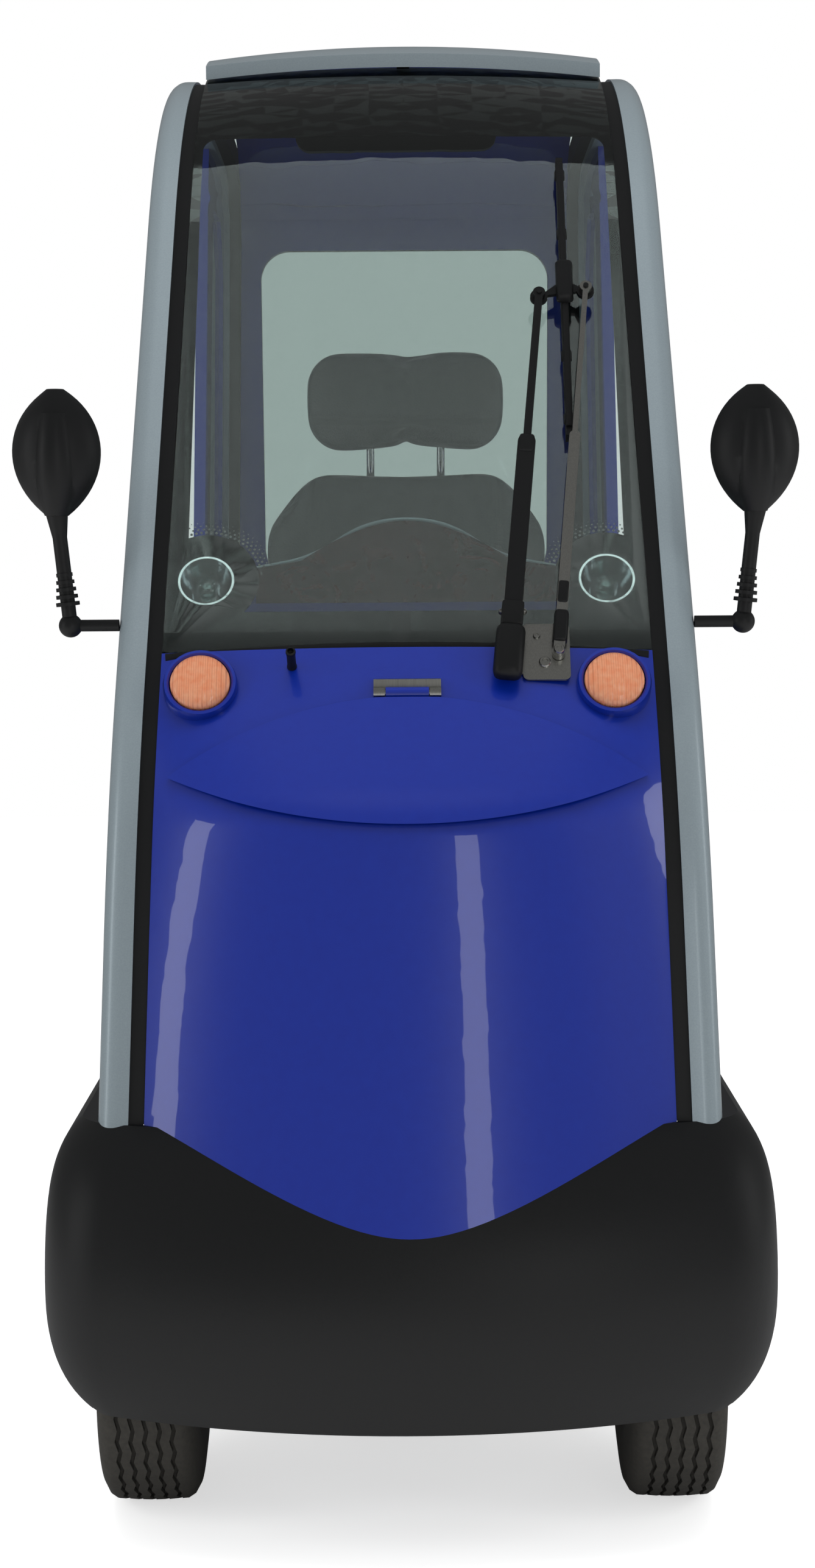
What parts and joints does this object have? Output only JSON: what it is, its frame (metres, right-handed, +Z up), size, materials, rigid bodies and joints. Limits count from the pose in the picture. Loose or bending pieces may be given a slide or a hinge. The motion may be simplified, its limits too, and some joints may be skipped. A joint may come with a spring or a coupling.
{
  "type": "enclosed mobility scooter",
  "caption": "Single-seat enclosed mobility scooter with hoop-framed cabin, windscreen wiper, swivel seat, tiller steering and front locker lid.",
  "frame": {"origin": "on the ground under the middle of the scooter", "axes": "+Z up, +Y towards the rear, +X to the right as seen from the front"},
  "size_m": [0.859, 1.7025, 1.7107],
  "materials": {
    "silver_paint": "satin",
    "black_rubber": "matte",
    "black_plastic": "satin",
    "blue_paint": "gloss",
    "glass": "clear",
    "black_print": "gloss",
    "lamp_chrome": "polished",
    "amber_lens": "clear",
    "red_lens": "clear",
    "zinc": "satin",
    "burl_wood": "gloss",
    "black_steel": "satin",
    "battery_case": "matte",
    "leather": "satin",
    "tyre": "matte",
    "rim_paint": "satin"
  },
  "bodies": {
    "root": {"side_rails": "silver_paint", "front_header": "silver_paint", "rail_seals": "black_rubber", "front_bumper": "black_plastic", "rear_bumper": "black_plastic", "front_panel": "blue_paint", "roof_panel": "blue_paint", "rear_panel": "blue_paint", "quarter_panels": "blue_paint", "cowl_sides": "blue_paint", "dash_cowl": "blue_paint", "rear_body": "blue_paint", "windscreen": "glass", "rear_windows": "glass", "screen_mask": "black_print", "headlamps": "lamp_chrome", "turn_lamps": "amber_lens", "tail_lamps": "red_lens", "lid_hinge": "zinc", "wiper_base": "zinc", "side_mirrors": "black_plastic", "cabin_mirror": "black_plastic", "wood_dash": "burl_wood", "floor_pan": "black_plastic", "floor_mat": "black_rubber", "chassis_frame": "black_steel", "front_axle": "black_steel", "drive_unit": "black_steel", "batteries": "battery_case", "tiller_base": "black_steel", "seat_post": "black_steel"},
    "steering": {"tiller_column": "black_steel", "handlebar": "black_plastic"},
    "knuckle_left": {"knuckle_left": "black_steel"},
    "knuckle_right": {"knuckle_right": "black_steel"},
    "tie_rod": {"tie_rod": "zinc"},
    "wheel_front_left": {"tyre_front_left": "tyre", "rim_front_left": "rim_paint"},
    "wheel_front_right": {"tyre_front_right": "tyre", "rim_front_right": "rim_paint"},
    "wheel_rear_left": {"tyre_rear_left": "tyre", "rim_rear_left": "rim_paint"},
    "wheel_rear_right": {"tyre_rear_right": "tyre", "rim_rear_right": "rim_paint"},
    "front_lid": {"front_lid": "blue_paint"},
    "wiper_arm": {"wiper_arm": "black_plastic"},
    "wiper_link": {"wiper_link": "zinc"},
    "wiper_blade": {"wiper_blade": "black_rubber"},
    "seat": {"seat_frame": "black_steel", "seat_cushion": "leather", "seat_back": "leather", "headrest": "leather"},
    "armrest_left": {"armrest_left": "black_plastic"},
    "armrest_right": {"armrest_right": "black_plastic"}
  },
  "joints": [
    {"name": "steering", "type": "hinge", "parent": "root", "child": "steering", "pos_m": [0, -0.3, 0.232], "axis": [0, 0.0872, 0.9962], "range_deg": [-35, 35]},
    {"name": "knuckle_left", "type": "hinge", "parent": "root", "child": "knuckle_left", "pos_m": [-0.2, -0.545, 0.165], "axis": [0, 0, 1], "range_deg": [-25, 25]},
    {"name": "knuckle_right", "type": "hinge", "parent": "root", "child": "knuckle_right", "pos_m": [0.2, -0.545, 0.165], "axis": [0, 0, 1], "range_deg": [-25, 25]},
    {"name": "tie_rod", "type": "hinge", "parent": "knuckle_left", "child": "tie_rod", "pos_m": [-0.2, -0.455, 0.137], "axis": [0, 0, 1], "range_deg": [-25, 25]},
    {"name": "wheel_front_left", "type": "hinge", "parent": "knuckle_left", "child": "wheel_front_left", "pos_m": [-0.285, -0.545, 0.165], "axis": [1, 0, 0], "continuous": true},
    {"name": "wheel_front_right", "type": "hinge", "parent": "knuckle_right", "child": "wheel_front_right", "pos_m": [0.285, -0.545, 0.165], "axis": [1, 0, 0], "continuous": true},
    {"name": "wheel_rear_left", "type": "hinge", "parent": "root", "child": "wheel_rear_left", "pos_m": [-0.285, 0.575, 0.165], "axis": [1, 0, 0], "continuous": true},
    {"name": "wheel_rear_right", "type": "hinge", "parent": "root", "child": "wheel_rear_right", "pos_m": [0.285, 0.575, 0.165], "axis": [1, 0, 0], "continuous": true},
    {"name": "front_lid", "type": "hinge", "parent": "root", "child": "front_lid", "pos_m": [0, -0.62316, 0.899], "axis": [-1, 0, 0], "range_deg": [0, 70]},
    {"name": "wiper_arm", "type": "hinge", "parent": "root", "child": "wiper_arm", "pos_m": [0.109, -0.59175, 0.93032], "axis": [0, -0.8616, 0.5075], "range_deg": [0, 50]},
    {"name": "wiper_link", "type": "hinge", "parent": "root", "child": "wiper_link", "pos_m": [0.163, -0.58769, 0.93721], "axis": [0, -0.8616, 0.5075], "range_deg": [0, 50]},
    {"name": "wiper_blade", "type": "hinge", "parent": "wiper_arm", "child": "wiper_blade", "pos_m": [0.15501, -0.34925, 1.342], "axis": [0, -0.8616, 0.5075], "range_deg": [-50, 0]},
    {"name": "seat_swivel", "type": "hinge", "parent": "root", "child": "seat", "pos_m": [0, 0.1, 0.505], "axis": [0, 0, 1], "range_deg": [-90, 90]},
    {"name": "armrest_left", "type": "hinge", "parent": "seat", "child": "armrest_left", "pos_m": [-0.255, 0.3, 0.85], "axis": [1, 0, 0], "range_deg": [-95, 0]},
    {"name": "armrest_right", "type": "hinge", "parent": "seat", "child": "armrest_right", "pos_m": [0.255, 0.3, 0.85], "axis": [1, 0, 0], "range_deg": [-95, 0]}
  ],
  "couplings": [
    {"joint": "knuckle_left", "follows": "steering", "ratio": 0.7},
    {"joint": "knuckle_right", "follows": "steering", "ratio": 0.7},
    {"joint": "tie_rod", "follows": "steering", "ratio": -0.7},
    {"joint": "wiper_link", "follows": "wiper_arm", "ratio": 1},
    {"joint": "wiper_blade", "follows": "wiper_arm", "ratio": -1}
  ]
}
